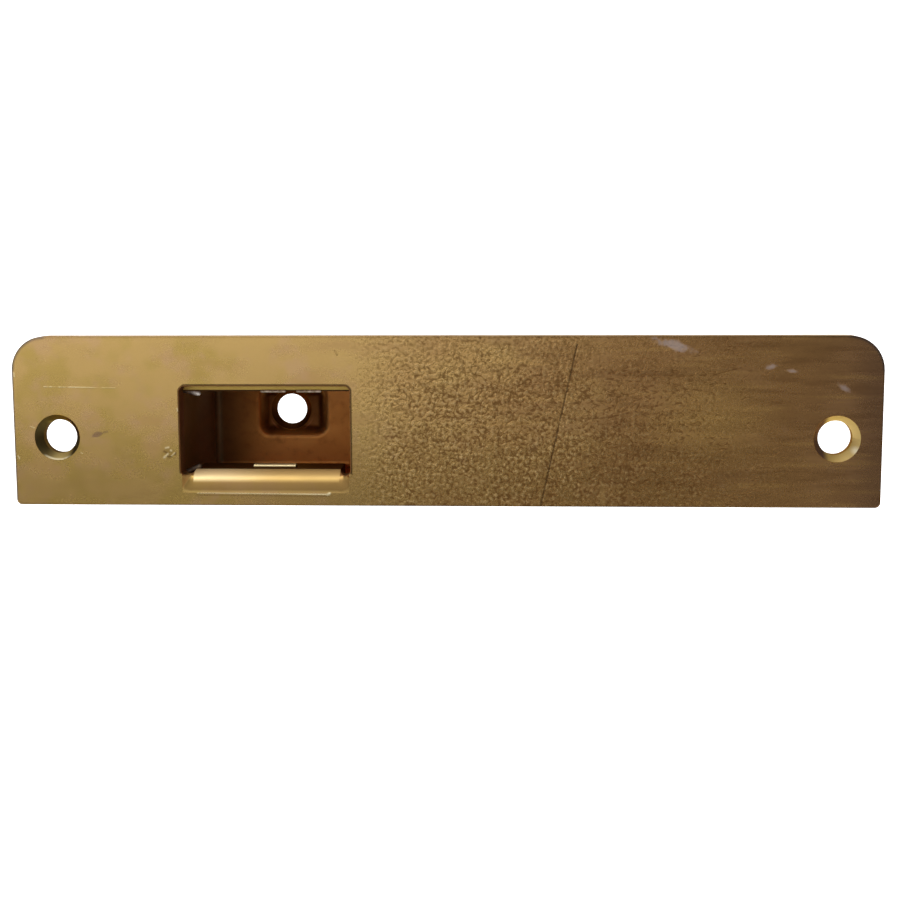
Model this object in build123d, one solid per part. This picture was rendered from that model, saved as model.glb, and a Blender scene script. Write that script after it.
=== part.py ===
from build123d import *
import os
from math import radians, tan

# A flush bolt strike: a long plate with two screw holes and an opening for the bolt.
# The opening's lower side is a tongue of the plate's own metal, rolled inwards.
# A folded sheet box stands behind the opening and takes the bolt.
# X runs along the plate, Z up across its width, and Y from its front face into the frame.
# Everything is drawn with Y = 0 on the front face, and moved at the end so that the origin
# lies midway between the screw holes on the plate's rear face. Sizes are in millimetres.

# Plate
PLATE_LENGTH = 127.0
PLATE_WIDTH = 25.0
PLATE_THICKNESS = 3.0
UPPER_CORNER_RADIUS = 5.0
LOWER_CORNER_RADIUS = 0.8
EDGE_ROUNDING = 0.25

# Countersunk screw holes
SCREW_BORE = 5.0
SCREW_HEAD = 6.8
SCREW_HEAD_ANGLE = 60.0
HOLE_TO_END = 6.5
HOLE_TO_UPPER_EDGE = 14.9

# Opening, measured from the plate's left end and upper edge
OPENING_CENTRE_TO_END = 37.35
OPENING_LENGTH = 25.1
OPENING_TO_UPPER_EDGE = 7.35
OPENING_CORNER_RADIUS = 0.8
OPENING_ROUNDING = 0.2

# Rolled tongue along the opening's lower side
TONGUE_TO_LOWER_EDGE = 5.1
TONGUE_REACH = 8.8
TONGUE_INSIDE_RADIUS = 0.2
TONGUE_END_EASE = 1.6
EASE_RUNOUT = 0.02
NOTCH_WIDTH = 1.75
NOTCH_BELOW_TONGUE = 0.7

# Box, folded from one sheet, placed by how far its inside reaches past the opening
BOX_SHEET = 1.2
BOX_PAST_OPENING_LEFT = 1.0
BOX_PAST_OPENING_RIGHT = 0.3
BOX_TOP_BELOW_OPENING = 0.95
FLOOR_BELOW_TONGUE = 0.6
BOX_INSIDE_DEPTH = 30.0
BOX_INSIDE_RADIUS = 1.0
BOX_SEAM = 0.15

# Tab of the box's floor, bent up through a slot in the tongue
TAB_RIGHT_OF_CENTRE = 0.65
TAB_WIDTH = 6.3
TAB_DEPTH = 4.5
TAB_PROUD = 0.45
TAB_EDGE_RADIUS = 0.4
TAB_BEND_RADIUS = 0.3
TAB_RELIEF = 0.8
SLOT_CLEARANCE = 0.1

# Pressed recess round the screw hole in the box's back wall, with sloping sides
BACK_HOLE_BELOW_OPENING = 6.6
BACK_HOLE_LEFT_OF_BOX_CENTRE = 0.5
BACK_HEAD_ANGLE = 90.0
RECESS_LENGTH = 11.4
RECESS_HEIGHT = 8.1
RECESS_BELOW_HOLE = 0.2
RECESS_DEPTH = 1.5
RECESS_CORNER_RADIUS = 1.8
RECESS_DRAFT = 45.0
RECESS_MOUTH_RADIUS = 1.2
RECESS_FLOOR_RADIUS = 0.8

# Tack weld beads
BEAD_SET_BACK = 0.4
CORNER_BEAD_LENGTH = 4.0
CORNER_BEAD_RADIUS = 0.4
UPPER_BEAD_TILT = 13.0
LOWER_BEAD_TILT = -24.0
LOWER_BEAD_DROP = 0.4
TOP_BEAD_LENGTH = 3.8
TOP_BEAD_RADIUS = 0.22
TOP_BEAD_SPACING = 5.3
TOP_BEADS_RIGHT_OF_CENTRE = 3.55

# Levels and places worked out from the sizes above
PLATE_LEFT = -PLATE_LENGTH / 2
PLATE_TOP = HOLE_TO_UPPER_EDGE
PLATE_BOTTOM = PLATE_TOP - PLATE_WIDTH
SCREW_X = PLATE_LENGTH / 2 - HOLE_TO_END
OPENING_X = PLATE_LEFT + OPENING_CENTRE_TO_END
OPENING_LEFT = OPENING_X - OPENING_LENGTH / 2
OPENING_RIGHT = OPENING_X + OPENING_LENGTH / 2
OPENING_TOP = PLATE_TOP - OPENING_TO_UPPER_EDGE
TONGUE_TOP = PLATE_BOTTOM + TONGUE_TO_LOWER_EDGE
TONGUE_UNDERSIDE = TONGUE_TOP - PLATE_THICKNESS
TONGUE_OUTSIDE_RADIUS = TONGUE_INSIDE_RADIUS + PLATE_THICKNESS
TONGUE_ROOT = TONGUE_TOP - TONGUE_OUTSIDE_RADIUS
TONGUE_LEFT = OPENING_LEFT + NOTCH_WIDTH
TONGUE_RIGHT = OPENING_RIGHT - NOTCH_WIDTH
NOTCH_RADIUS = NOTCH_WIDTH / 2
NOTCH_LEVEL = TONGUE_TOP - NOTCH_BELOW_TONGUE + NOTCH_RADIUS
BOX_LEFT = OPENING_LEFT - BOX_PAST_OPENING_LEFT
BOX_RIGHT = OPENING_RIGHT + BOX_PAST_OPENING_RIGHT
BOX_X = (BOX_LEFT + BOX_RIGHT) / 2
BOX_TOP = OPENING_TOP - BOX_TOP_BELOW_OPENING
BOX_FLOOR = TONGUE_UNDERSIDE - FLOOR_BELOW_TONGUE
BOX_FRONT = PLATE_THICKNESS
BOX_FOLD = BOX_INSIDE_DEPTH - BOX_INSIDE_RADIUS
BACK_HOLE_X = BOX_X - BACK_HOLE_LEFT_OF_BOX_CENTRE
BACK_HOLE_Z = OPENING_TOP - BACK_HOLE_BELOW_OPENING
RECESS_Z = BACK_HOLE_Z - RECESS_BELOW_HOLE
RECESS_BACK = BOX_INSIDE_DEPTH + RECESS_DEPTH
TAB_X = OPENING_X + TAB_RIGHT_OF_CENTRE
TAB_LEFT = TAB_X - TAB_WIDTH / 2
TAB_RIGHT = TAB_X + TAB_WIDTH / 2
TAB_BACK = TAB_DEPTH + BOX_SHEET
TAB_ROOT = TAB_BACK + TAB_BEND_RADIUS


def slab(outline, front, back):
    """Solid between two depths behind the front face, from an outline in X and Z."""
    return extrude(Plane.XZ.offset(-front) * outline, amount=front - back)


def bar(profile, left, right):
    """Solid between two places along the plate, from a profile in Y and Z."""
    return extrude(Plane.YZ.offset(left) * profile, amount=right - left)


def block(left, right, front, back, low, high):
    """Plain block between two limits on each axis."""
    middle = Pos((left + right) / 2, (front + back) / 2, (low + high) / 2)
    return middle * Box(right - left, back - front, high - low)


def screw_hole(x, z, front, thickness, head_room, head_angle):
    """Tool for a bore through a wall, countersunk from its front, with room for the head."""
    bore = SCREW_BORE / 2
    head = SCREW_HEAD / 2
    cone = (head - bore) / tan(radians(head_angle / 2))
    mouth = [(0, -head_room), (head, -head_room), (head, 0)]
    half = Polyline(*mouth, (bore, cone), (bore, thickness), (0, thickness), close=True)
    return Pos(x, front, z) * revolve(make_face(half), Axis.Y)


def plate_blank():
    """Outline with two large and two small corners, rounded along its front edge."""
    middle = Pos(0, (PLATE_TOP + PLATE_BOTTOM) / 2)
    outline = middle * Rectangle(PLATE_LENGTH, PLATE_WIDTH)
    outline = fillet(outline.vertices().group_by(Axis.Y)[-1], UPPER_CORNER_RADIUS)
    outline = fillet(outline.vertices().group_by(Axis.Y)[0], LOWER_CORNER_RADIUS)
    blank = slab(outline, 0, PLATE_THICKNESS)
    return fillet(blank.edges().group_by(Axis.Y)[0], EDGE_ROUNDING)


def opening_outline():
    """Opening with round upper corners and a round-bottomed notch at each lower corner."""
    middle = Pos(OPENING_X, (OPENING_TOP + NOTCH_LEVEL) / 2)
    outline = middle * Rectangle(OPENING_LENGTH, OPENING_TOP - NOTCH_LEVEL)
    outline = fillet(outline.vertices().group_by(Axis.Y)[-1], OPENING_CORNER_RADIUS)
    for x in (TONGUE_LEFT - NOTCH_RADIUS, TONGUE_RIGHT + NOTCH_RADIUS):
        outline += Pos(x, NOTCH_LEVEL) * Circle(NOTCH_RADIUS)
    return outline


def open_plate(blank):
    """Cuts the opening, rounds its front edge and clears the tongue's length down to its root."""
    plate = blank - slab(opening_outline(), 0, PLATE_THICKNESS)
    front = plate.faces().sort_by(Axis.Y)[0]
    plate = fillet(front.inner_wires()[0].edges(), OPENING_ROUNDING)
    return plate - block(TONGUE_LEFT, TONGUE_RIGHT, 0, PLATE_THICKNESS, TONGUE_ROOT, NOTCH_LEVEL)


def tongue():
    """Root, bend and flat of the tongue as one profile."""
    centre = (TONGUE_OUTSIDE_RADIUS, TONGUE_ROOT)
    outer = CenterArc(centre, TONGUE_OUTSIDE_RADIUS, 180, -90)
    inner = CenterArc(centre, TONGUE_INSIDE_RADIUS, 180, -90)
    end = Polyline(outer @ 1, (TONGUE_REACH, TONGUE_TOP), (TONGUE_REACH, TONGUE_UNDERSIDE), inner @ 1)
    root = Line(inner @ 0, outer @ 0)
    return bar(make_face([outer, end, inner, root]), TONGUE_LEFT, TONGUE_RIGHT)


def tongue_slot():
    """Tool for the slot that the box's tab stands in."""
    gap = SLOT_CLEARANCE
    sides = (TAB_LEFT - gap, TAB_RIGHT + gap)
    return block(*sides, TAB_DEPTH - gap, TAB_BACK + gap, TONGUE_UNDERSIDE, TONGUE_TOP)


def tongue_end_ease(end, reach):
    """Tool that eases the plate's face into the bend beside one end of the tongue."""
    radius = TONGUE_OUTSIDE_RADIUS
    top = NOTCH_LEVEL + NOTCH_RADIUS
    bend = CenterArc((radius, TONGUE_ROOT), radius, 180, -90)
    deep = make_face([bend, Polyline(bend @ 1, (radius, top), (0, top), bend @ 0)])
    runout = [(0, TONGUE_ROOT), (EASE_RUNOUT, TONGUE_TOP), (EASE_RUNOUT, top), (0, top)]
    shallow = make_face(Polyline(*runout, close=True))
    return loft([Plane.YZ.offset(end) * deep, Plane.YZ.offset(end + reach) * shallow], ruled=True)


def strike_plate():
    """Plate with its opening, tongue, slot and screw holes."""
    plate = open_plate(plate_blank())
    plate -= tongue_end_ease(TONGUE_LEFT, -TONGUE_END_EASE)
    plate -= tongue_end_ease(TONGUE_RIGHT, TONGUE_END_EASE)
    plate = plate + tongue() - tongue_slot()
    for x in (-SCREW_X, SCREW_X):
        plate -= screw_hole(x, 0, 0, PLATE_THICKNESS, PLATE_THICKNESS, SCREW_HEAD_ANGLE)
    return plate


def folded(grow):
    """Block of the box's inside, grown by the given thickness, with its folds round."""
    sides = (BOX_LEFT - grow, BOX_RIGHT + grow)
    levels = (BOX_FLOOR - grow, BOX_TOP + grow)
    shape = block(*sides, BOX_FRONT, BOX_INSIDE_DEPTH + grow, *levels)
    return fillet(shape.edges().group_by(Axis.Y)[-1], BOX_INSIDE_RADIUS + grow)


def box_walls():
    """Back wall and four walls folded forward, with an open seam along each corner."""
    walls = folded(BOX_SHEET) - folded(0)
    for left in (BOX_LEFT - BOX_SHEET, BOX_RIGHT):
        for low in (BOX_FLOOR, BOX_TOP - BOX_SEAM):
            walls -= block(left, left + BOX_SHEET, BOX_FRONT, BOX_FOLD, low, low + BOX_SEAM)
    return walls


def tab_cut():
    """Tool that opens the floor in front of the tab and along its sides."""
    sides = (TAB_LEFT - TAB_RELIEF, TAB_RIGHT + TAB_RELIEF)
    return block(*sides, BOX_FRONT, TAB_ROOT + TAB_RELIEF, BOX_FLOOR - BOX_SHEET, BOX_FLOOR)


def tab():
    """Tab bent up from the floor."""
    centre = (TAB_ROOT, BOX_FLOOR + TAB_BEND_RADIUS)
    tip = TONGUE_TOP + TAB_PROUD
    root = TAB_ROOT + TAB_RELIEF
    inner = CenterArc(centre, TAB_BEND_RADIUS, 270, -90)
    outer = CenterArc(centre, TAB_BEND_RADIUS + BOX_SHEET, 270, -90)
    leg = Polyline(inner @ 1, (TAB_BACK, tip), (TAB_DEPTH, tip), outer @ 1)
    foot = Polyline(outer @ 0, (root, BOX_FLOOR - BOX_SHEET), (root, BOX_FLOOR), inner @ 0)
    profile = make_face([inner, leg, outer, foot])
    edge = profile.vertices().group_by(Axis.Y)[-1].sort_by(Axis.X)[0]
    return bar(fillet(edge, TAB_EDGE_RADIUS), TAB_LEFT, TAB_RIGHT)


def pressed(length, height, radius, front, end_radius):
    """Tapered plug of the recess, from a rounded outline at the given depth."""
    outline = Pos(BOX_X, RECESS_Z) * RectangleRounded(length, height, radius)
    plug = extrude(Plane.XZ.offset(-front) * outline, amount=-RECESS_DEPTH, taper=RECESS_DRAFT)
    return fillet(plug.edges().group_by(Axis.Y)[-1], end_radius)


def bolt_box():
    """Folded box with its tab, and a screw hole in a recess of its back wall."""
    box = box_walls() - tab_cut() + tab()
    grow = BOX_SHEET * tan(radians((90 - RECESS_DRAFT) / 2))
    rear = (RECESS_LENGTH + 2 * grow, RECESS_HEIGHT + 2 * grow, RECESS_CORNER_RADIUS + grow)
    box += pressed(*rear, BOX_INSIDE_DEPTH + BOX_SHEET, RECESS_FLOOR_RADIUS + BOX_SHEET)
    inside = (RECESS_LENGTH, RECESS_HEIGHT, RECESS_CORNER_RADIUS)
    box -= pressed(*inside, BOX_INSIDE_DEPTH, RECESS_FLOOR_RADIUS)
    back = min(box.faces().filter_by(Axis.Y), key=lambda f: abs(f.center().Y - BOX_INSIDE_DEPTH))
    box = fillet(back.inner_wires()[0].edges(), RECESS_MOUTH_RADIUS)
    place = (BACK_HOLE_X, BACK_HOLE_Z, RECESS_BACK)
    return box - screw_hole(*place, BOX_SHEET, RECESS_DEPTH, BACK_HEAD_ANGLE)


def bead(length, radius):
    """Weld bead with round ends."""
    half = length / 2 - radius
    side = Line((-half, radius), (half, radius))
    right = CenterArc((half, 0), radius, 90, -90)
    left = CenterArc((-half, 0), radius, 180, -90)
    middle = Line(right @ 1, left @ 0)
    return revolve(make_face([side, right, middle, left]), Axis.X)


def weld_beads(plate, box):
    """Beads in the opening's left corners and along its upper side, seated on both sheets."""
    corner = bead(CORNER_BEAD_LENGTH, CORNER_BEAD_RADIUS)
    corner_x = BOX_LEFT + CORNER_BEAD_LENGTH / 2 - BEAD_SET_BACK
    depth = BOX_FRONT + BEAD_SET_BACK
    placed = [
        Pos(corner_x, depth, BOX_TOP) * Rot(0, UPPER_BEAD_TILT, 0) * corner,
        Pos(corner_x, depth, TONGUE_TOP - LOWER_BEAD_DROP) * Rot(0, LOWER_BEAD_TILT, 0) * corner,
    ]
    top_x = OPENING_X + TOP_BEADS_RIGHT_OF_CENTRE
    for x in (top_x - TOP_BEAD_SPACING / 2, top_x + TOP_BEAD_SPACING / 2):
        placed.append(Pos(x, BOX_FRONT, BOX_TOP) * bead(TOP_BEAD_LENGTH, TOP_BEAD_RADIUS))
    return Compound([(whole - plate - box).solid() for whole in placed])


def make_parts():
    """Every node of the part by name, drawn from the plate's front face."""
    plate = strike_plate()
    box = bolt_box()
    return {"strike_plate": plate, "bolt_box": box, "weld_beads": weld_beads(plate, box)}


os.makedirs("parts", exist_ok=True)
for name, part in make_parts().items():
    placed = Pos(0, -PLATE_THICKNESS, 0) * part
    placed.label = name
    export_step(placed, f"parts/{name}.step")
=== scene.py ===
import bpy
import bmesh
import math
from mathutils import Euler, Matrix, Vector


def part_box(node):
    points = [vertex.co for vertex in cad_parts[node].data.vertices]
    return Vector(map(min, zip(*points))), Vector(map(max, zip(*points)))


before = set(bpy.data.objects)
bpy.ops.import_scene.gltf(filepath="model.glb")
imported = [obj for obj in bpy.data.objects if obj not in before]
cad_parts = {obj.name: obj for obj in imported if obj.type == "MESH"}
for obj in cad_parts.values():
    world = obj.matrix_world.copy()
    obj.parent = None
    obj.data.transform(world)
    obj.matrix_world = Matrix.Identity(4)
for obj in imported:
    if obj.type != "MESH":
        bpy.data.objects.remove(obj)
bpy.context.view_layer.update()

# Everything is in metres, apart from the marks on the metal, which are placed in plate millimetres.
# Those run along from the left end, down from the upper edge and back from the front face.
MM = 0.001
PLATE_LOW, PLATE_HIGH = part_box("strike_plate")
LEFT_END = -PLATE_LOW.x / MM
UPPER_EDGE = PLATE_HIGH.z / MM
FRONT_FACE = -PLATE_LOW.y / MM

# The plate, its screw holes, its opening and its tongue.
PLATE_LENGTH = 127.0
PLATE_WIDTH = 25.0
PLATE_THICKNESS = 3.0
LARGE_CORNER = 5.0
HOLE_TO_END = 6.5
HOLE_TO_UPPER_EDGE = 14.9
HOLE_RADIUS = 2.5
HEAD_RADIUS = 3.4
HEAD_DEPTH = 1.56
OPENING_LEFT = 24.8
OPENING_RIGHT = 49.9
OPENING_TOP = 7.35
OPENING_CORNER = 0.8
NOTCH_WIDTH = 1.75
TONGUE_LEFT = OPENING_LEFT + NOTCH_WIDTH
TONGUE_RIGHT = OPENING_RIGHT - NOTCH_WIDTH
TONGUE_TOP = 19.9
NOTCH_END = TONGUE_TOP + 0.7
BEND_RADIUS = 3.2
BEND_ROOT = TONGUE_TOP + BEND_RADIUS

# The box behind the opening, by its inner faces, and the tab of its floor.
SHEET = 1.2
BOX_LEFT = 23.8
BOX_TOP = 8.3
BOX_BACK = 30.0
FOLD_START = 29.0
RECESS_FLOOR = 31.5
BACK_HOLE = (36.5, 13.95)
TAB_FRONT = 4.5
TAB_BACK = TAB_FRONT + SHEET

# How deep the marks of the front face go, and how wide its dark rims are.
FACE_MARKS_END = (0.35, 0.15)
BRIGHT_MARKS_END = (0.5, 0.3)
RIM_WIDTH = (0.4, 0.05)
SIDE_ROUNDING = (0.26, 0.12)
END_ROUNDING = (0.35, 0.1)
OPENING_RIM = (1.24, 1.06)
THINNER_ON_LEFT = 0.14

# The painted highlight on the shoulder ends on a slanted line: this slope times the place along, plus the
# place below.
SHOULDER_SLOPE = 1.7
SHOULDER_ENDS = (65.3, 64.7)

# Where the plate's tones change, along it: from the first place to the second.
BROWNING_AND_SHADE = (10, 125)
OLIVE_FADES = (20, 60)
PINK_FADES = (40, 60)
STREAKS_BEGIN = (58, 80)
DULLING = (112, PLATE_LENGTH)
DARKENING = (121, PLATE_LENGTH)
LOWER_SHADE_GROWS = (25, 55)
LOWER_SHADE_FADES = (90, 120)
SIDES_DARKEN = (40, 80)
LIP_SHEEN_FADES = (28, 40)
RIGHT_HALF = (60, 61)

# Where the speckle, its strokes and the score lines begin and end, along the plate.
SPECKLE_BEGINS = (47, 58)
SPECKLE_THINS = (78, 92)
SPECKLE_ENDS = (98, 120)
STROKES_BEGIN = (50, 64)
STROKES_END = (95, 112)
LONG_STROKES_BEGIN = (70, 82)
LONG_STROKES_END = (106, 116)
UPPER_SCORE_FADES = (9, 15)
LOWER_SCORE_GROWS = (27, 34)
LOWER_SCORE_BRIGHTENS = (38, 46)

# The same down the plate.
LOWER_SHADE_BELOW = (8, PLATE_WIDTH)
STROKES_BELOW = (1, 9)
SPECKLE_DENSEST = 18
SPECKLE_REACH = 16
SCRATCH_WHOLE = (11, 14)

# Shaded and lit sides of the two screw holes' cones.
LEFT_CONE_SHADE = (6.8, 4.4)
LEFT_CONE_TOP = (13.2, 12.4)
LEFT_CONE_ENDS = (12, 10)
CONE_LOWER_PART = (16.2, 17.6)
LOWER_RIM_ACROSS = (3.1, 3.25)
LOWER_RIM_BELOW = (17.3, 17.8)
LEFT_CONE_RIGHT = ((7.6, 8.8), (12, 14))
RIGHT_CONE_LEFT = ((100, 110), (118.5, 119.6))

# Where the box's painted light and shade change, back along its left wall, down its back wall and round its
# hole.
WALL_PAINTED_LIGHT_GROWS = (12, 24)
WALL_DEEP_PART = (21, 27)
SLOPE_PAINTED_LIGHT_GROWS = (16.5, 18)
ARC_BELOW = (15, 17)
ARC_RADIUS = 3.85
ARC_HALF_WIDTH = 0.25
RING_RIM = (3.6, 3.4)

# Painted highlight on the upper left bead's inner end, and painted shade on the left and lower beads.
WELD_HIGHLIGHT_END = ((25.2, 26.6), (28, 30))
WELD_HIGHLIGHT_ABOVE = (12, 10)
WELD_SHADE_LEFT = (27.0, 25.8)
WELD_SHADE_BELOW = (17, 18)

# Short dark cracks and bright nicks on the front face: both ends and half the width of each.
CRACKS = (
    ((95.7, 5.8), (99.2, 5.75), 0.22),
    ((99.2, 5.75), (102.8, 5.6), 0.26),
    ((102.8, 5.6), (106.5, 4.6), 0.19),
    ((84.4, 12.0), (87.1, 11.9), 0.2),
    ((87.1, 11.9), (91.3, 11.0), 0.26),
    ((91.4, 10.9), (93.6, 11.8), 0.17),
    ((80.3, 18.6), (82.1, 20.1), 0.24),
    ((80.7, 19.3), (82.8, 20.4), 0.2),
    ((83.6, 19.5), (87.4, 20.4), 0.22),
    ((79.3, 6.5), (82.7, 6.9), 0.17),
    ((98.8, 7.6), (102.6, 8.2), 0.17),
    ((47.9, 2.2), (48.2, 2.75), 0.2),
    ((96.4, 16.7), (99.8, 17.2), 0.15),
    ((103.9, 16.9), (103.6, 18.8), 0.17),
    ((65.0, 10.5), (67.3, 12.2), 0.22),
)
NICKS = (
    ((22.62, 16.44), (23.05, 16.34), 0.26),
    ((22.4, 17.84), (22.95, 17.33), 0.28),
    ((23.39, 16.81), (23.45, 16.85), 0.24),
    ((23.47, 17.62), (23.93, 17.18), 0.16),
    ((24.5, 10.6), (24.6, 11.0), 0.16),
    ((25.8, 21.0), (26.25, 20.85), 0.16),
    ((0.35, 5.4), (0.4, 5.9), 0.2),
    ((0.5, 17.7), (0.7, 18.1), 0.16),
    ((2.6, 13.3), (3.1, 13.5), 0.08),
    ((9.9, 17.1), (10.2, 17.3), 0.08),
)

# Longer lines on the front face, from one end to the other.
UPPER_SCORE = ((4.76, 7.4), (15.4, 7.55))
LOWER_SCORE = ((27.2, 23.15), (46.8, 23.28))
LOWER_SCORE_END = ((46.5, 23.3), (46.85, 23.15))
LOWER_SCORE_SHADE = ((27.2, 23.45), (46.8, 23.55))
LONG_SCRATCH = ((83.05, 1.3), (77.9, 24.7))
BRUISE_TAIL = ((11.8, 14.7), (14.0, 14.0))
NICK_SHADES = (
    ((22.4, 16.95), (22.8, 17.15)),
    ((22.99, 17.75), (23.4, 17.7)),
    ((24.0, 17.4), (24.1, 17.2)),
)

# Soft patches: middle along and below, half the length and height, and the turn in degrees.
LIGHT_PATCH = (102, 12.5, 13, 9)
LIGHT_STREAK = (86.8, 23.0, 0.7, 3.0)
RUBBED_PATCH = (96.6, 1.25, 4.6, 1.1, -16)
FAINT_PATCHES = (
    (110.8, 4.5, 1.6, 0.6, 14),
    (113.9, 5.1, 1.8, 0.5, -10),
    (121.2, 7.5, 1.8, 0.8, -35),
)
NICK_HOLLOW = (23.15, 17.2, 1.3, 1.1)
BRUISE = (12.5, 14.4, 0.9, 0.6, 20)
CONE_GLINT = (123.2, 16.6, 0.9, 0.7, 45)

# Turn and shift of each layer of short curved strokes.
STROKE_LAYERS = ((20, 11), (-25, 23), (70, 37))


def linear(red, green, blue):
    """Linear colour with alpha from 0 to 255 screen values."""
    shares = [value / 255 for value in (red, green, blue)]
    return tuple(c / 12.92 if c < 0.04045 else ((c + 0.055) / 1.055) ** 2.4 for c in shares) + (1.0,)


# Colours of the plate.
GOLD = linear(194, 159, 96)
BROWN = linear(172, 129, 80)
TAN = linear(178, 136, 92)
OLIVE = linear(176, 148, 72)
PINK = linear(196, 156, 118)
DULL_END = linear(146, 112, 90)
DARK_END = linear(104, 78, 66)
DARK_STREAK = linear(128, 90, 54)
PALE_STREAK = linear(208, 164, 98)
LIGHT_BROWN = linear(208, 166, 96)
LOWER_SHADE = linear(112, 86, 40)
DARK_SPECK = linear(88, 56, 24)
PALE_SPECK = linear(212, 178, 122)
STREAK = linear(184, 150, 92)
RUBBED_WHITE = linear(176, 166, 166)
NICK_DARK = linear(96, 68, 36)
BRUISE_GREY = linear(112, 82, 78)
BRIGHT_METAL = linear(255, 238, 190)
SCRATCH_DARK = linear(66, 44, 24)
RIM_BROWN = linear(84, 62, 38)
SIDE_BROWN = linear(72, 58, 36)
END_GREY = linear(120, 116, 124)
CORNER_GREY = linear(78, 72, 74)
OPENING_EDGE_SHADE = linear(56, 38, 16)
OPENING_WALL_SHADE = linear(150, 104, 64)
BEND_SHADE = linear(114, 86, 46)
SHOULDER_HIGHLIGHT = linear(196, 160, 98)
LIP_PALE_WEAR_AND_SHEEN = linear(246, 222, 166)
LIP_GOLD_WEAR_AND_SHEEN = linear(216, 182, 112)
LIP_TOP_PALE_WEAR_AND_SHEEN = linear(250, 224, 174)
LIP_TOP_GOLD_WEAR_AND_SHEEN = linear(222, 188, 124)
TONGUE_FLAT_SHADE = linear(104, 66, 30)
CONE_PALE = linear(232, 208, 140)
CONE_SIDE_SHADE = linear(74, 66, 44)
CONE_LOWER_SHADE = linear(150, 128, 84)
CONE_RIM_HIGHLIGHT = linear(250, 236, 196)
CONE_PURPLE_SHADE = linear(88, 70, 84)
GLINT = linear(255, 250, 225)
CONE_DARK_SHADE = linear(64, 48, 24)
LEFT_BORE_SHADE = linear(120, 104, 74)
RIGHT_BORE_SHADE = linear(168, 136, 84)
PLATE_TINT = linear(190, 158, 100)
SHADED_TINT = linear(110, 88, 60)

# Colours of the box.
SHEET_LIGHT = linear(212, 144, 76)
SHEET_BROWN = linear(192, 126, 62)
SHEET_MOTTLE = linear(160, 98, 46)
LEFT_SHADE = linear(112, 78, 48)
WALL_FRONT = linear(160, 124, 82)
WALL_REAR_LIT = linear(192, 158, 116)
WALL_DEEP_LIT = linear(200, 168, 126)
FOLD_LIGHT = linear(150, 124, 90)
SLOPE_PAINTED_LIGHT = linear(244, 186, 112)
RECESS_SHADE = linear(106, 70, 40)
ARC_HIGHLIGHT = linear(190, 130, 84)
RING_SHADE = linear(84, 46, 24)
CUT_EDGE = linear(196, 166, 88)
CUT_EDGE_DARK = linear(70, 48, 26)
TAB_EDGE_AND_HIGHLIGHT = linear(246, 228, 176)
TAB_SHADE = linear(96, 70, 26)
BOX_TINT = linear(165, 122, 78)

# Colours of the weld beads.
WELD_LIGHT = linear(206, 190, 170)
WELD_DARK = linear(140, 122, 100)
WELD_HIGHLIGHT = linear(224, 216, 206)
WELD_SHADE = linear(70, 54, 40)


class Material:
    """A node material, with short names for the nodes that it uses."""

    def __init__(self, name):
        self.material = bpy.data.materials.new(name)
        self.material.use_nodes = True
        self.tree = self.material.node_tree
        self.shader = next(n for n in self.tree.nodes if n.type == "BSDF_PRINCIPLED")
        self.coordinates = self.tree.nodes.new("ShaderNodeTexCoord").outputs["Object"]

    def put(self, socket, value):
        if isinstance(value, bpy.types.NodeSocket):
            self.tree.links.new(value, socket)
        else:
            socket.default_value = value

    def node(self, kind, inputs, **settings):
        made = self.tree.nodes.new(kind)
        for name, value in settings.items():
            setattr(made, name, value)
        for key, value in inputs.items():
            self.put(made.inputs[key], value)
        return made

    def set(self, **values):
        for name, value in values.items():
            self.put(self.shader.inputs[name.replace("_", " ")], value)

    def math(self, operation, a, b=0.0):
        return self.node("ShaderNodeMath", {0: a, 1: b}, operation=operation).outputs[0]

    def times(self, first, *rest):
        for value in rest:
            first = self.math("MULTIPLY", first, value)
        return first

    def plus(self, first, *rest):
        for value in rest:
            first = self.math("ADD", first, value)
        return first

    def minus(self, a, b):
        return self.math("SUBTRACT", a, b)

    def least(self, a, b):
        return self.math("MINIMUM", a, b)

    def most(self, a, b):
        return self.math("MAXIMUM", a, b)

    def step(self, value, start, end, low=0.0, high=1.0):
        """Smooth change from low to high while the value goes from start to end."""
        inputs = {"Value": value, "From Min": start, "From Max": end, "To Min": low, "To Max": high}
        return self.node("ShaderNodeMapRange", inputs, interpolation_type="SMOOTHSTEP").outputs["Result"]

    def between(self, value, rise, fall):
        """Rises from 0 to 1 over the first span of the value, and falls to 0 over the second."""
        return self.times(self.step(value, *rise), self.step(value, fall[1], fall[0]))

    def near(self, value, centre, reach):
        """1 where the value is at the centre, falling to 0 at the reach from it."""
        return self.step(self.math("ABSOLUTE", self.minus(value, centre)), 0.0, reach, 1.0, 0.0)


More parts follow.
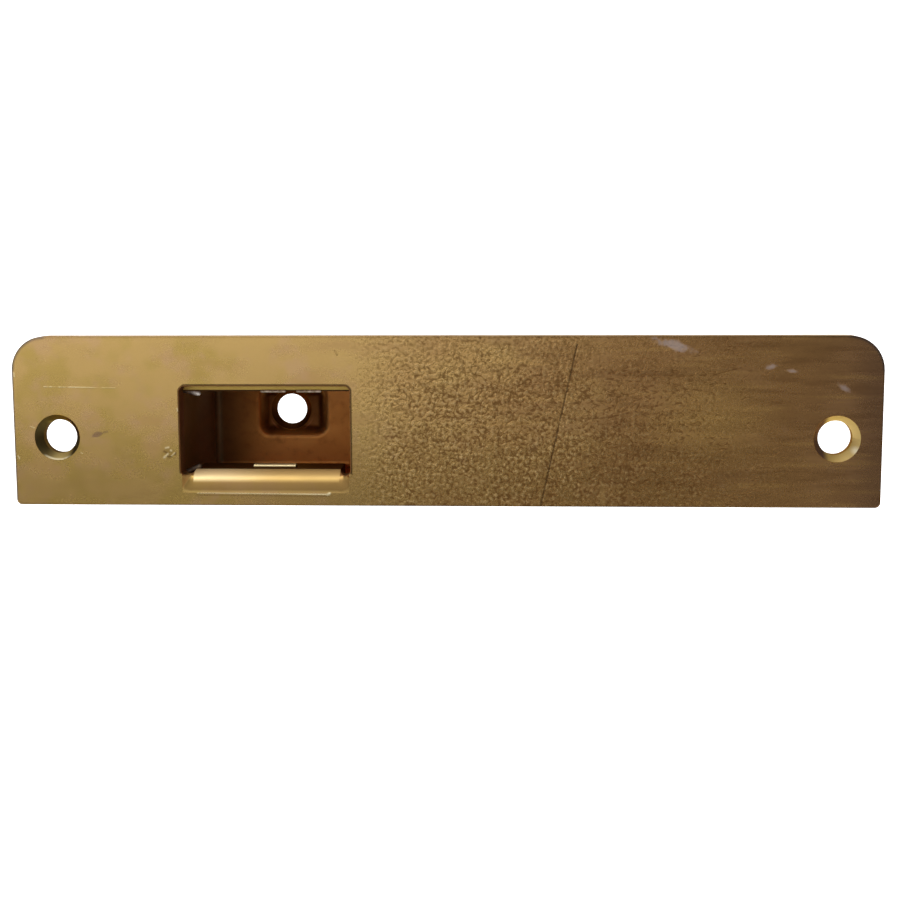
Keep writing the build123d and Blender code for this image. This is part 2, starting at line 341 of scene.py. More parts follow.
class Metal(Material):
    """A material that is placed in plate millimetres and painted in layers."""

    def __init__(self, name):
        super().__init__(name)
        inputs = {"Vector": self.coordinates, "Location": (LEFT_END, UPPER_EDGE, FRONT_FACE)}
        inputs.update({"Rotation": (math.radians(90), 0, 0), "Scale": (1 / MM,) * 3})
        self.place = self.node("ShaderNodeMapping", inputs).outputs["Vector"]
        split = self.node("ShaderNodeSeparateXYZ", {"Vector": self.place})
        self.along, self.below, self.depth = split.outputs
        self.colour = None

    def mix(self, share, first, second):
        made = self.node("ShaderNodeMix", {}, data_type="RGBA")
        for index, value in ((0, share), (6, first), (7, second)):
            self.put(made.inputs[index], value)
        return made.outputs[2]

    def paint(self, colour, *shares):
        """Covers the colour so far with another one, as far as the product of the shares says."""
        self.colour = self.mix(self.times(*shares), self.colour, colour)

    def vector(self, operation, inputs):
        return self.node("ShaderNodeVectorMath", inputs, operation=operation).outputs

    def moved(self, shift=(0, 0, 0), turn=0.0, stretch=(1, 1, 1)):
        """Plate millimetres, turned about the depth axis, stretched and shifted."""
        turned = self.node("ShaderNodeVectorRotate", {"Vector": self.place, "Angle": math.radians(turn)})
        inputs = {"Vector": turned.outputs[0], "Location": shift, "Scale": stretch}
        return self.node("ShaderNodeMapping", inputs).outputs["Vector"]

    def noise(self, scale, detail=2.0, roughness=0.5, **where):
        inputs = {"Vector": self.moved(**where), "Scale": scale, "Detail": detail, "Roughness": roughness}
        return self.node("ShaderNodeTexNoise", inputs).outputs[0]

    def uneven(self, size, **kind):
        """Noise about zero, of the given size from one extreme to the other."""
        return self.times(self.plus(self.noise(**kind), -0.5), size)

    def spot(self, along, below, half_length, half_height, turn=0.0, wobble=None):
        """Soft patch, 1 in its middle and 0 at its rim."""
        away = self.vector("SUBTRACT", {0: self.place, 1: (along, below, 0)})[0]
        turned = self.node("ShaderNodeVectorRotate", {"Vector": away, "Angle": math.radians(turn)})
        scale = (1 / half_length, 1 / half_height, 0.0)
        shaped = self.vector("MULTIPLY", {0: turned.outputs[0], 1: scale})[0]
        length = self.vector("LENGTH", {0: shaped})["Value"]
        if wobble is not None:
            length = self.plus(length, wobble)
        return self.step(length, 0.0, 1.0, 1.0, 0.0)

    def reach(self, along, below):
        """Distance in millimetres from a point of the plate's face."""
        flat = self.vector("MULTIPLY", {0: self.place, 1: (1, 1, 0)})[0]
        return self.vector("DISTANCE", {0: flat, 1: (along, below, 0)})["Value"]

    def line(self, start, end, half_width, wobble=None):
        """Thin mark between two points of the plate."""
        first, second = Vector((*start, 0)), Vector((*end, 0))
        run = second - first
        away = self.vector("SUBTRACT", {0: self.place, 1: first})[0]
        flat = self.vector("MULTIPLY", {0: away, 1: (1, 1, 0)})[0]
        dot = self.vector("DOT_PRODUCT", {0: flat, 1: run})["Value"]
        share = self.node("ShaderNodeClamp", {"Value": self.times(dot, 1 / run.length_squared)}).outputs[0]
        foot = self.vector("SCALE", {0: run, "Scale": share})[0]
        gap = self.vector("DISTANCE", {0: flat, 1: foot})["Value"]
        if wobble is not None:
            gap = self.plus(gap, wobble)
        return self.step(gap, 0.0, half_width, 1.0, 0.0)

    def bump(self, height, depth):
        made = self.node("ShaderNodeBump", {"Height": height, "Distance": depth, "Strength": 1.0})
        self.set(Normal=made.outputs["Normal"])


class PlateMetal(Metal):
    """Aged satin metal: golden on the left and browner on the right, partly its own tone and partly painted
    shade, speckled and scratched between.
    """

    def __init__(self):
        super().__init__("plate_metal")
        self.front = self.step(self.depth, *FACE_MARKS_END)
        self.wobble = self.uneven(0.16, scale=0.8, shift=(6, 1, 0))
        self.ragged = self.uneven(1.4, scale=0.6, detail=3.0, roughness=0.7)
        self.paint_tones()
        self.paint_right_part()
        self.paint_speckle()
        self.paint_rubbed_patches()
        self.paint_scores_and_nicks()
        self.paint_long_scratch()
        self.paint_rim()
        self.paint_opening()
        self.paint_bend()
        self.paint_tongue()
        self.paint_screw_holes()
        self.set_finish()

    def paint_tones(self):
        """Gold turning to brown, partly the metal's tone and partly painted shade, with cloudy tan, olive
        and pink mottling and a duller right end.
        """
        cloud = self.uneven(0.8, scale=0.09, detail=3.0)
        # Partly painted shade: the browner, darker right side stands in for a duller reflection there.
        browner_and_shaded = self.plus(self.step(self.along, *BROWNING_AND_SHADE), cloud)
        self.colour = self.mix(self.step(browner_and_shaded, 0.1, 0.95), GOLD, BROWN)
        self.mottle = self.noise(0.35, detail=3.0, roughness=0.5, shift=(7, 3, 1), stretch=(0.4, 1, 1))
        self.paint(TAN, self.step(self.mottle, 0.45, 0.75), 0.35)
        olive = self.noise(0.2, detail=3.0, shift=(3, 9, 2))
        olive = self.times(olive, self.step(self.along, *OLIVE_FADES, low=1.0, high=0.4))
        self.paint(OLIVE, self.step(olive, 0.4, 0.62), 0.55)
        pink = self.noise(0.22, detail=3.0, roughness=0.6, shift=(11, 2, 5))
        pink = self.times(pink, self.step(self.along, *PINK_FADES, low=1.0, high=0.8))
        self.paint(PINK, self.step(pink, 0.48, 0.68), 0.4)
        self.paint(DULL_END, self.step(self.along, *DULLING), 0.35)

    def paint_right_part(self):
        """Rolling streaks and a lighter patch on the right, its dark end, and painted shade towards the
        lower edge.
        """
        right = self.step(self.along, *STREAKS_BEGIN)
        streaks = self.noise(0.9, detail=3.0, roughness=0.6, shift=(8, 2, 7), stretch=(0.08, 1, 1))
        self.paint(DARK_STREAK, self.step(streaks, 0.5, 0.68), right, 0.4)
        self.paint(PALE_STREAK, self.step(streaks, 0.48, 0.32), right, 0.35)
        self.paint(LIGHT_BROWN, self.spot(*LIGHT_PATCH), 0.5)
        self.paint(DARK_END, self.step(self.along, *DARKENING, high=0.4))
        # Painted shade: darker and more olive towards the lower edge, most in the middle part of the plate.
        growing = self.step(self.along, *LOWER_SHADE_GROWS, low=0.24, high=0.46)
        fading = self.step(self.along, *LOWER_SHADE_FADES, low=1.0, high=0.3)
        self.paint(LOWER_SHADE, self.step(self.below, *LOWER_SHADE_BELOW), growing, fading)

    def short_strokes(self):
        """Three layers of short curved strokes over the plate's middle."""
        strokes = 0.0
        for turn, shift in STROKE_LAYERS:
            where = {"turn": turn, "shift": (shift, shift / 2, 0), "stretch": (0.5, 1.5, 1)}
            field = self.noise(0.75, detail=1.5, roughness=0.6, **where)
            mask = self.noise(0.7, detail=1.0, shift=(shift, 4, 2))
            mask = self.step(mask, 0.48, 0.58)
            strokes = self.most(self.times(self.near(field, 0.5, 0.045), mask), strokes)
        region = self.between(self.along, STROKES_BEGIN, STROKES_END)
        return self.times(strokes, region, self.step(self.below, *STROKES_BELOW, low=0.5))

    def long_strokes(self):
        """Longer curved strokes to the right of the middle."""
        field = self.noise(0.42, detail=2.0, roughness=0.6, turn=12, shift=(3, 17, 0), stretch=(0.5, 1.6, 1))
        mask = self.step(self.noise(0.35, detail=1.0, shift=(14, 6, 2)), 0.46, 0.56)
        region = self.between(self.along, LONG_STROKES_BEGIN, LONG_STROKES_END)
        return self.times(self.near(field, 0.5, 0.022), mask, region)

    def paint_speckle(self):
        """Fine dark and pale speckle over the plate's middle, with dark strokes and cracks in it."""
        thinning = self.step(self.along, *SPECKLE_THINS, low=1.0, high=0.5)
        ending = self.step(self.along, *SPECKLE_ENDS, low=1.0, high=0.05)
        self.middle = self.times(self.step(self.along, *SPECKLE_BEGINS), thinning, ending)
        patchy = self.step(self.noise(0.16, shift=(1, 2, 3)), 0.35, 0.6, low=0.65)
        denser = self.near(self.below, SPECKLE_DENSEST, SPECKLE_REACH)
        patchy = self.times(patchy, self.plus(0.65, self.times(denser, 0.6)))
        grain = self.noise(2.0, detail=1.5, roughness=0.5, shift=(5, 5, 0))
        self.dots = self.times(self.step(grain, 0.5, 0.64), self.middle, patchy)
        self.pale = self.times(self.step(grain, 0.47, 0.32), self.middle, patchy)
        self.strokes = self.most(self.short_strokes(), self.long_strokes())
        broken = self.step(self.noise(1.1, detail=1.0, shift=(4, 8, 1)), 0.42, 0.55, low=0.25)
        for start, end, half_width in CRACKS:
            crack = self.line(start, end, half_width, self.wobble)
            self.strokes = self.most(self.strokes, self.times(crack, broken))
        self.dark = self.least(self.plus(self.times(self.dots, 0.8), self.strokes), 1.0)
        self.dark = self.times(self.dark, self.front)
        self.paint(DARK_SPECK, self.dark, 0.72)
        self.paint(PALE_SPECK, self.pale, self.front, 0.5)

    def paint_rubbed_patches(self):
        """Whitish rubbed patches near the upper edge, and a faint light streak near the lower one."""
        patches = self.spot(*RUBBED_PATCH, self.ragged)
        for patch in FAINT_PATCHES:
            patches = self.plus(patches, self.times(self.spot(*patch, self.ragged), 0.7))
        self.patches = self.times(self.step(patches, 0.1, 0.8), self.front)
        self.paint(STREAK, self.spot(*LIGHT_STREAK), self.front, 0.35)
        self.paint(RUBBED_WHITE, self.patches, 0.55)

    def bright_marks(self):
        """The two score lines, the lower one's bright end, and the nicks."""
        broken = self.step(self.noise(0.7, shift=(2, 2, 2)), 0.4, 0.55, low=0.1)
        fading = self.step(self.along, *UPPER_SCORE_FADES, low=1.0, high=0.35)
        marks = self.times(self.line(*UPPER_SCORE, 0.1), broken, fading, 0.8)
        growing = self.step(self.along, *LOWER_SCORE_GROWS, low=0.4, high=0.6)
        growing = self.plus(growing, self.step(self.along, *LOWER_SCORE_BRIGHTENS, high=0.3))
        marks = self.most(marks, self.times(self.line(*LOWER_SCORE, 0.15), growing))
        marks = self.most(marks, self.line(*LOWER_SCORE_END, 0.3))
        for start, end, half_width in NICKS:
            marks = self.most(marks, self.times(self.line(start, end, half_width, self.wobble), 0.6))
        return self.times(marks, self.step(self.depth, *BRIGHT_MARKS_END))

    def paint_scores_and_nicks(self):
        """Shades beside the nicks and the lower score, the bruise, and the bright marks."""
        shade = self.times(self.spot(*NICK_HOLLOW), 0.25)
        for start, end in NICK_SHADES:
            shade = self.most(shade, self.times(self.line(start, end, 0.3), 0.7))
        shade = self.most(shade, self.times(self.line(*LOWER_SCORE_SHADE, 0.2), 0.3))
        self.paint(NICK_DARK, shade, self.front)
        tail = self.times(self.line(*BRUISE_TAIL, 0.35), 0.5)
        bruise = self.plus(self.spot(*BRUISE, self.ragged), tail)
        self.paint(BRUISE_GREY, self.step(bruise, 0.0, 0.8), self.front, 0.55)
        self.bright = self.bright_marks()
        self.paint(BRIGHT_METAL, self.bright, 0.85)

    def paint_long_scratch(self):
        """Long dark scratch across the right half, broken in its upper part."""
        broken = self.step(self.noise(0.4, shift=(9, 9, 9)), 0.3, 0.5, low=0.4)
        broken = self.most(broken, self.step(self.below, *SCRATCH_WHOLE))
        self.scratch = self.times(self.line(*LONG_SCRATCH, 0.24), self.front, broken)
        self.paint(SCRATCH_DARK, self.scratch, 0.72)

    def paint_rim(self):
        """Thin dark line round the outline, grey on the left end and at the large corners."""
        ends = self.least(self.along, self.minus(PLATE_LENGTH, self.along))
        sides = self.least(self.below, self.minus(PLATE_WIDTH, self.below))
        self.paint(RIM_BROWN, self.step(self.least(ends, sides), *RIM_WIDTH), 0.45)
        darker = self.step(self.along, *SIDES_DARKEN, low=0.5, high=0.75)
        self.paint(SIDE_BROWN, self.step(sides, *SIDE_ROUNDING), darker)
        self.paint(END_GREY, self.step(self.along, *END_ROUNDING), 0.6)
        left = self.reach(LARGE_CORNER, LARGE_CORNER)
        right = self.reach(PLATE_LENGTH - LARGE_CORNER, LARGE_CORNER)
        arc = self.step(self.least(left, right), LARGE_CORNER - 0.6, LARGE_CORNER - 0.1)
        span = (LARGE_CORNER + 0.5, LARGE_CORNER - 0.5)
        self.paint(CORNER_GREY, arc, self.step(self.below, *span), self.step(ends, *span), 0.7)

    def paint_opening(self):
        """Painted shade on the opening's edge and on its walls."""
        region = self.step(self.along, OPENING_LEFT - 0.5, OPENING_LEFT - 0.3)
        region = self.times(region, self.step(self.along, OPENING_RIGHT + 0.5, OPENING_RIGHT + 0.3))
        self.region = self.times(region, self.step(self.below, OPENING_TOP - 0.55, OPENING_TOP - 0.35))
        left = self.minus(OPENING_LEFT + OPENING_CORNER, self.along)
        right = self.plus(self.along, OPENING_CORNER - OPENING_RIGHT)
        aside = self.math("POWER", self.most(self.most(left, right), 0.0), 2.0)
        above = self.minus(OPENING_TOP + OPENING_CORNER, self.below)
        above = self.math("POWER", self.most(above, 0.0), 2.0)
        thinner = self.step(self.along, OPENING_LEFT + 0.8, OPENING_LEFT + 0.1, 0.0, THINNER_ON_LEFT)
        away = self.plus(self.math("SQRT", self.plus(aside, above)), thinner)
        upper = self.step(self.below, NOTCH_END - 0.2, NOTCH_END - 0.5)
        # Painted shade on the opening's rounded edge.
        self.paint(OPENING_EDGE_SHADE, self.step(away, *OPENING_RIM), self.region, upper, 0.85)
        sides = ((TONGUE_LEFT - 0.15, TONGUE_LEFT + 0.05), (TONGUE_RIGHT - 0.05, TONGUE_RIGHT + 0.15))
        self.tongue = self.between(self.along, *sides)
        self.inward = self.step(self.below, TONGUE_TOP - 0.7, TONGUE_TOP - 0.4)
        bend = self.times(self.tongue, self.inward, self.step(self.below, BEND_ROOT, BEND_ROOT - 0.2))
        upper = self.step(self.below, NOTCH_END + 0.12, NOTCH_END + 0.02)
        behind = self.step(self.depth, 0.0, 0.03)
        self.walls = self.times(self.region, upper, behind, self.minus(1.0, bend))
        # Painted shade on the opening's walls.
        self.paint(OPENING_WALL_SHADE, self.walls, 0.9)

    def paint_bend(self):
        """Painted shade on the bend below the opening, and a painted highlight on the shoulder beside its
        left notch.
        """
        self.curve = self.times(self.region, self.step(self.below, NOTCH_END, NOTCH_END + 0.8))
        self.curve = self.times(self.curve, self.step(self.depth, 0.0, 0.04))
        # Painted shade on the bend below the opening.
        self.paint(BEND_SHADE, self.curve, 0.6)
        slanted = self.plus(self.below, self.times(self.along, SHOULDER_SLOPE))
        slanted = self.step(slanted, *SHOULDER_ENDS)
        inside = self.step(self.along, OPENING_LEFT - 0.1, OPENING_LEFT + 0.05)
        lower = self.step(self.below, NOTCH_END - 0.2, NOTCH_END + 0.1)
        self.shoulder = self.times(slanted, inside, lower, self.step(self.depth, 0.0, 0.03))
        # Painted highlight where the bend rounds off beside the left notch.
        self.paint(SHOULDER_HIGHLIGHT, self.shoulder)

    def paint_tongue(self):
        """The lip, partly rubbed pale metal and partly a painted highlight that is palest on its left, and
        painted shade on the tongue's flat behind it.
        """
        flat = self.step(self.depth, PLATE_THICKNESS - 0.2, PLATE_THICKNESS + 0.3)
        self.flat = self.times(self.tongue, flat, self.inward)
        rounded = self.step(self.depth, BEND_RADIUS, BEND_RADIUS - 0.6)
        lip = self.step(self.below, TONGUE_TOP + 1.8, TONGUE_TOP + 1.0)
        self.lip = self.times(self.tongue, lip, rounded, self.inward)
        self.lip_top = self.times(self.lip, self.step(self.below, TONGUE_TOP + 1.35, TONGUE_TOP + 0.25))
        golden = self.step(self.along, *LIP_SHEEN_FADES)
        # Painted highlight along the lip, over pale rubbed metal.
        self.paint(self.mix(golden, LIP_PALE_WEAR_AND_SHEEN, LIP_GOLD_WEAR_AND_SHEEN), self.lip, 0.8)
        self.paint(self.mix(golden, LIP_TOP_PALE_WEAR_AND_SHEEN, LIP_TOP_GOLD_WEAR_AND_SHEEN), self.lip_top, 0.95)
        # Painted shade on the tongue's flat inside the opening.
        self.paint(TONGUE_FLAT_SHADE, self.flat)

    def paint_screw_holes(self):
        """Pale cones, and painted shade in the bores."""
        left = self.reach(HOLE_TO_END, HOLE_TO_UPPER_EDGE)
        right = self.reach(PLATE_LENGTH - HOLE_TO_END, HOLE_TO_UPPER_EDGE)
        hole = self.least(left, right)
        shallow = self.between(self.depth, (0.02, 0.06), (HEAD_DEPTH - 0.02, HEAD_DEPTH + 0.06))
        self.cone = self.times(self.step(hole, HEAD_RADIUS + 0.1, HEAD_RADIUS), shallow)
        deep = self.step(self.depth, HEAD_DEPTH - 0.02, HEAD_DEPTH + 0.06)
        self.bore = self.times(self.step(hole, HOLE_RADIUS + 0.2, HOLE_RADIUS + 0.1), deep)
        self.paint(CONE_PALE, self.cone, 0.85)
        self.shade_cones(hole)
        bore_shades = self.mix(self.step(self.along, *RIGHT_HALF), LEFT_BORE_SHADE, RIGHT_BORE_SHADE)
        # Painted shade in the bores.
        self.paint(bore_shades, self.bore)

    def shade_cones(self, hole):
        """Painted shade on the left cone's sides and a painted highlight on its lower rim, and the right
        cone's painted shade and glint.
        """
        top = self.times(self.step(self.along, *LEFT_CONE_ENDS), self.step(self.below, *LEFT_CONE_TOP))
        shade = self.most(self.step(self.along, *LEFT_CONE_SHADE), top)
        # Painted shade on the left cone's left side and top.
        self.paint(CONE_SIDE_SHADE, self.cone, shade, 0.92)
        # Painted shade on the lower part of both cones.
        self.paint(CONE_LOWER_SHADE, self.cone, self.step(self.below, *CONE_LOWER_PART), 0.4)
        # Painted highlight on the left cone's lower rim.
        rim = self.times(self.step(hole, *LOWER_RIM_ACROSS), self.step(self.below, *LOWER_RIM_BELOW))
        left_half = self.minus(1.0, self.step(self.along, *RIGHT_HALF))
        self.paint(CONE_RIM_HIGHLIGHT, self.cone, rim, left_half, 0.85)
        # Painted shade on the right cone's left side.
        self.paint(CONE_PURPLE_SHADE, self.cone, self.between(self.along, *RIGHT_CONE_LEFT), 0.9)
        self.paint(GLINT, self.cone, self.spot(*CONE_GLINT), 0.8)
        # Painted shade on the left cone's right side.
        self.dark_side = self.times(self.cone, self.between(self.along, *LEFT_CONE_RIGHT))
        self.paint(CONE_DARK_SHADE, self.dark_side, 0.9)

    def set_finish(self):
        """Tint at grazing angles, gloss, and the relief of the marks."""
        shaded = self.most(self.bore, self.most(self.walls, self.dark_side))
        tint = self.mix(shaded, PLATE_TINT, SHADED_TINT)
        self.set(Base_Color=self.colour, Metallic=1.0, Specular_Tint=tint)
        fine = self.noise(3.0)
        rougher = (
            (self.mottle, 0.12), (self.dark, 0.15), (self.patches, 0.25), (fine, 0.05), (self.lip, 0.12),
            (self.lip_top, 0.35), (self.flat, 0.35), (self.cone, 0.25), (self.walls, 0.3),
            (self.shoulder, 0.5), (self.bore, 0.3), (self.curve, 0.2),
        )
        self.set(Roughness=self.plus(0.18, *(self.times(mask, more) for mask, more in rougher)))
        rises = (
            (self.dots, -0.6), (self.pale, 0.4), (self.strokes, -0.5),
            (self.scratch, -1.0), (self.bright, 0.5),
        )
        height = self.plus(*(self.times(mask, rise) for mask, rise in rises))
        grain = self.times(fine, self.plus(0.006, self.times(self.middle, 0.05)))
        self.bump(self.plus(self.times(height, self.front), grain, self.times(self.mottle, 0.02)), 0.02 * MM)


class BoxMetal(Metal):
    """Dull brown sheet, with painted shade in its left part and in the pressed recess, and painted light on
    its left wall and the recess's slopes.
    """

    def __init__(self):
        super().__init__("box_metal")
        cloud = self.noise(0.12, detail=3.0)
        self.mottle = self.noise(0.6, detail=3.0, roughness=0.6)
        self.colour = self.mix(self.step(cloud, 0.3, 0.7), SHEET_LIGHT, SHEET_BROWN)
        self.paint(SHEET_MOTTLE, self.step(self.mottle, 0.5, 0.75), 0.35)
        self.paint_left_part()
        self.paint_back_wall()
        self.paint_front_edges()
        self.set_finish()

    def paint_left_part(self):
        """Painted shade on the back wall's left part, the left wall painted lighter towards the back as
        painted light, and painted light on the fold between them.
        """
        self.paint(LEFT_SHADE, self.step(self.along, BOX_LEFT + 8.2, BOX_LEFT + 1.2), 0.7)
        self.left_wall = self.step(self.along, BOX_LEFT + 0.9, BOX_LEFT + 0.1)
        # Painted light: the left wall grows lighter towards the back.
        wall = self.mix(self.step(self.depth, *WALL_PAINTED_LIGHT_GROWS), WALL_FRONT, WALL_REAR_LIT)
        self.paint(wall, self.left_wall, 0.92)
        inner_face = self.step(self.along, BOX_LEFT + 0.3, BOX_LEFT + 0.15)
        # Painted light on the deep part of the left wall's inner face.
        self.paint(WALL_DEEP_LIT, self.step(self.depth, *WALL_DEEP_PART), inner_face, 0.9)
        # Painted light on the fold, over its shade.
        fold = self.step(self.depth, FOLD_START - 0.1, FOLD_START + 0.2)
        sides = ((BOX_LEFT + 0.05, BOX_LEFT + 0.25), (BOX_LEFT + 1.0, BOX_LEFT + 1.6))
        self.paint(FOLD_LIGHT, fold, self.between(self.along, *sides), 0.85)

    def paint_back_wall(self):
        """Painted light on the recess's slopes, most on the lower one, painted shade on its floor, and a
        painted highlight arc and a ring of painted shade round its screw hole.
        """
        self.recess = self.step(self.depth, BOX_BACK + 0.1, RECESS_FLOOR - 0.4)
        # Painted light on the recess's slopes, most on the lower one.
        slope = self.step(self.depth, BOX_BACK + 0.02, BOX_BACK + 0.1)
        slope = self.times(slope, self.minus(1.0, self.recess))
        self.paint(SLOPE_PAINTED_LIGHT, slope, self.step(self.below, *SLOPE_PAINTED_LIGHT_GROWS, low=0.5, high=0.9))
        # Painted shade on the recess floor.
        self.paint(RECESS_SHADE, self.recess, 0.7)
        from_hole = self.reach(*BACK_HOLE)
        floor = self.step(self.depth, RECESS_FLOOR - 0.5, RECESS_FLOOR - 0.4)
        arc = self.near(from_hole, ARC_RADIUS, ARC_HALF_WIDTH)
        # Painted highlight arc below the screw hole.
        self.paint(ARC_HIGHLIGHT, floor, arc, self.step(self.below, *ARC_BELOW), 0.8)
        # Painted shade ring inside the screw hole.
        past_floor = self.step(self.depth, RECESS_FLOOR, RECESS_FLOOR + 0.1)
        self.paint(RING_SHADE, past_floor, self.step(from_hole, *RING_RIM), 0.8)

    def paint_front_edges(self):
        """The cut edge above the opening, dark in its lower part, and the tab's edge, partly pale sheared
        metal and partly painted highlight, with painted shade below it.
        """
        cut_edge = self.step(self.depth, PLATE_THICKNESS + 0.3, PLATE_THICKNESS + 0.1)
        cut_edge = self.times(cut_edge, self.step(self.below, BOX_TOP + 1.2, BOX_TOP + 0.9))
        self.paint(CUT_EDGE, cut_edge)
        self.paint(CUT_EDGE_DARK, cut_edge, self.step(self.below, BOX_TOP - 0.25, BOX_TOP - 0.18))
        tab = self.between(self.depth, (TAB_FRONT - 0.3, TAB_FRONT - 0.2), (TAB_BACK + 0.1, TAB_BACK + 0.2))
        tab = self.times(tab, self.step(self.below, TONGUE_TOP + 0.4, TONGUE_TOP - 0.1))
        tab = self.times(tab, self.step(self.below, TONGUE_TOP - 1.1, TONGUE_TOP - 0.9))
        # Painted highlight on the tab's rounded upper edge, over pale sheared metal.
        self.paint(TAB_EDGE_AND_HIGHLIGHT, tab)
        self.paint(TAB_SHADE, tab, self.step(self.below, TONGUE_TOP - 0.18, TONGUE_TOP - 0.1))

    def set_finish(self):
        """Tint at grazing angles, gloss and a fine grain."""
        self.set(Base_Color=self.colour, Metallic=1.0, Specular_Tint=BOX_TINT)
        rough = self.plus(0.4, self.times(self.mottle, 0.2), self.times(self.left_wall, 0.3))
        self.set(Roughness=self.plus(rough, self.times(self.recess, 0.1)))
        grain = self.times(self.noise(2.5), 0.3)
        self.bump(self.plus(self.times(self.mottle, 0.6), grain), 0.02 * MM)


class WeldMetal(Metal):
    """Dull grey weld metal with a ripple, a painted highlight at the upper left bead's inner end, and
    painted shade on the left and lower beads.
    """

    def __init__(self):
        super().__init__("weld_metal")
        ripple = self.noise(1.6, detail=3.0, roughness=0.6)
        self.colour = self.mix(self.step(ripple, 0.3, 0.7), WELD_LIGHT, WELD_DARK)
        # Painted highlight on the upper left bead's inner end.
        weld_highlight = self.between(self.along, *WELD_HIGHLIGHT_END)
        self.paint(WELD_HIGHLIGHT, weld_highlight, self.step(self.below, *WELD_HIGHLIGHT_ABOVE))
        # Painted shade on the left and lower beads.
        lower = self.times(self.step(self.below, *WELD_SHADE_BELOW), 0.7)
        weld_shade = self.plus(self.step(self.along, *WELD_SHADE_LEFT), lower)
        self.paint(WELD_SHADE, self.least(weld_shade, 1.0), 0.85)
        self.set(Base_Color=self.colour, Metallic=0.85)
        self.set(Roughness=self.plus(0.4, self.times(ripple, 0.25)))
        self.bump(ripple, 0.08 * MM)


def dress(node, metal):
    """Gives a CAD node its material."""
    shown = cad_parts[node]
    for place in shown.material_slots:
        place.material = metal.material
    if not shown.material_slots:
        shown.data.materials.append(metal.material)


dress("strike_plate", PlateMetal())
dress("bolt_box", BoxMetal())
dress("weld_beads", WeldMetal())

# Camera, as fitted to the photo's outline and screw holes.
CAMERA_AT = (0.01154, -0.21945, 0.02692)
CAMERA_TURNS = (0.1316, 0.0478, 0.0026)
CAMERA_LENS = 59.85
CAMERA_SENSOR = 36
CAMERA_NEAREST = 0.01
camera = bpy.data.objects.new("camera", bpy.data.cameras.new("camera"))
bpy.context.scene.collection.objects.link(camera)
bpy.context.scene.camera = camera
turn = Euler(CAMERA_TURNS).to_matrix()
right, down, forward = (Vector((row[0], row[2], -row[1])) for row in turn)
axes = Matrix((right, -down, -forward)).transposed().to_4x4()
camera.matrix_world = Matrix.Translation(CAMERA_AT) @ axes
camera.data.lens = CAMERA_LENS
camera.data.sensor_width = CAMERA_SENSOR
camera.data.clip_start = CAMERA_NEAREST

# Floor that curves up into a backdrop far behind the object.
FLOOR_LEVEL = -0.12
FLOOR_FRONT = -0.35
FLOOR_HALF_WIDTH = 1.6
SWEEP_START = 0.5
SWEEP_RADIUS = 0.4
SWEEP_STEPS = 16
BACKDROP_TOP = 1.2

# The floor's glow begins behind the plate, and fades towards the far sides.
GLOW_START = 0.02
GLOW_FULL = 0.12
GLOW_WIDE = 0.45
GLOW_END = 0.75
PAPER_COLOUR = (0.86, 0.86, 0.86, 1)
PAPER_ROUGHNESS = 0.9
GLOW_COLOUR = (1, 1, 1, 1)


class Paper(Material):
    """Pale matt paper that glows behind the object, so that it comes out white there."""

    def __init__(self):
        super().__init__("paper")
        split = self.node("ShaderNodeSeparateXYZ", {"Vector": self.coordinates})
        back = split.outputs["Y"]
        aside = self.math("ABSOLUTE", split.outputs["X"])
        glow = self.times(self.step(back, GLOW_START, GLOW_FULL), self.step(aside, GLOW_END, GLOW_WIDE))
        self.set(Base_Color=PAPER_COLOUR, Roughness=PAPER_ROUGHNESS)
        self.set(Emission_Color=GLOW_COLOUR, Emission_Strength=glow)


def floor_profile():
    """Side view of the floor: flat, then an upward sweep, then the backdrop."""
    profile = [(FLOOR_FRONT, FLOOR_LEVEL), (SWEEP_START, FLOOR_LEVEL)]
    for index in range(1, SWEEP_STEPS + 1):
        angle = math.radians(90 * index / SWEEP_STEPS)
        back = SWEEP_START + SWEEP_RADIUS * math.sin(angle)
        profile.append((back, FLOOR_LEVEL + SWEEP_RADIUS * (1 - math.cos(angle))))
    profile.append((profile[-1][0], BACKDROP_TOP))
    return profile


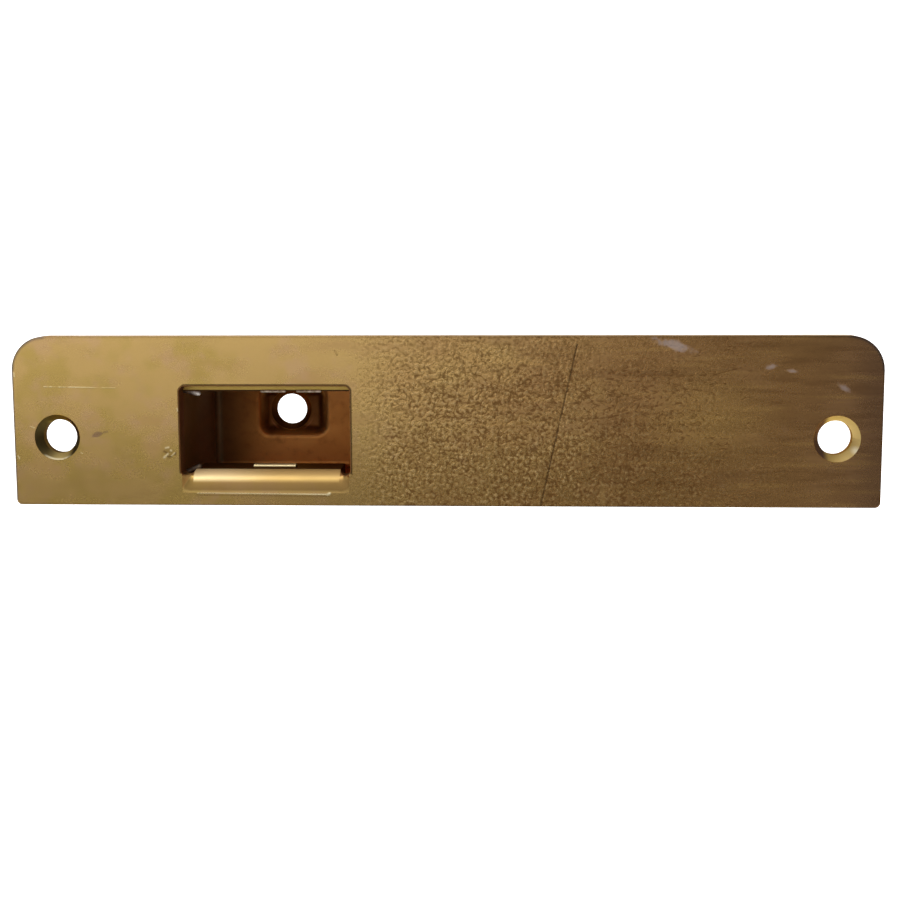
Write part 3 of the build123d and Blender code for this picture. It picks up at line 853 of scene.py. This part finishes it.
mesh = bmesh.new()
rows = [[mesh.verts.new((side * FLOOR_HALF_WIDTH, y, z)) for side in (-1, 1)] for y, z in floor_profile()]
for lower, upper in zip(rows, rows[1:]):
    mesh.faces.new((lower[0], lower[1], upper[1], upper[0])).smooth = True
floor_mesh = bpy.data.meshes.new("floor")
mesh.to_mesh(floor_mesh)
mesh.free()
floor = bpy.data.objects.new("floor", floor_mesh)
bpy.context.scene.collection.objects.link(floor)
floor.data.materials.append(Paper().material)

# Lights, all turned to the plate's middle.
MIDDLE = Vector((0, 0, 0.002))
LIGHT_DISTANCE = 1.0
CEILING_AT = (-0.22, -0.1, 0.8)
WINDOW_COLOUR = (1.0, 1.04, 1.14)
CEILING_COLOUR = (1.0, 1.02, 1.06)
WHITE = (1, 1, 1)


def softbox(name, at, size, radiance, colour=WHITE):
    """Rectangular area light, turned to the plate's middle."""
    light = bpy.data.lights.new(name, "AREA")
    light.shape = "RECTANGLE"
    light.size, light.size_y = size
    light.energy = radiance * math.pi * size[0] * size[1]
    light.color = colour
    lamp = bpy.data.objects.new(name, light)
    bpy.context.scene.collection.objects.link(lamp)
    lamp.location = at
    lamp.rotation_euler = (MIDDLE - Vector(at)).to_track_quat("-Z", "Y").to_euler()


def aimed(azimuth, elevation):
    """Place of a light at the given angles left of the plate's normal and above it."""
    left, up = math.radians(azimuth), math.radians(elevation)
    direction = Vector((-math.sin(left) * math.cos(up), -math.cos(left) * math.cos(up), math.sin(up)))
    return direction * LIGHT_DISTANCE


softbox("window", aimed(20, 19.25), size=(0.85, 0.92), radiance=1.0, colour=WINDOW_COLOUR)
softbox("ceiling", CEILING_AT, size=(0.6, 0.8), radiance=3.0, colour=CEILING_COLOUR)
softbox("front_top", aimed(20, 62), size=(0.9, 0.36), radiance=1.5)
softbox("side", aimed(76, 12), size=(0.5, 0.6), radiance=1.2)

# Light of the room all around.
ROOM_COLOUR = (1.0, 0.98, 0.95, 1)
ROOM_STRENGTH = 0.26
world = bpy.data.worlds.new("room")
bpy.context.scene.world = world
world.use_nodes = True
world.node_tree.nodes["Background"].inputs["Color"].default_value = ROOM_COLOUR
world.node_tree.nodes["Background"].inputs["Strength"].default_value = ROOM_STRENGTH
bpy.context.scene.view_settings.view_transform = "Standard"
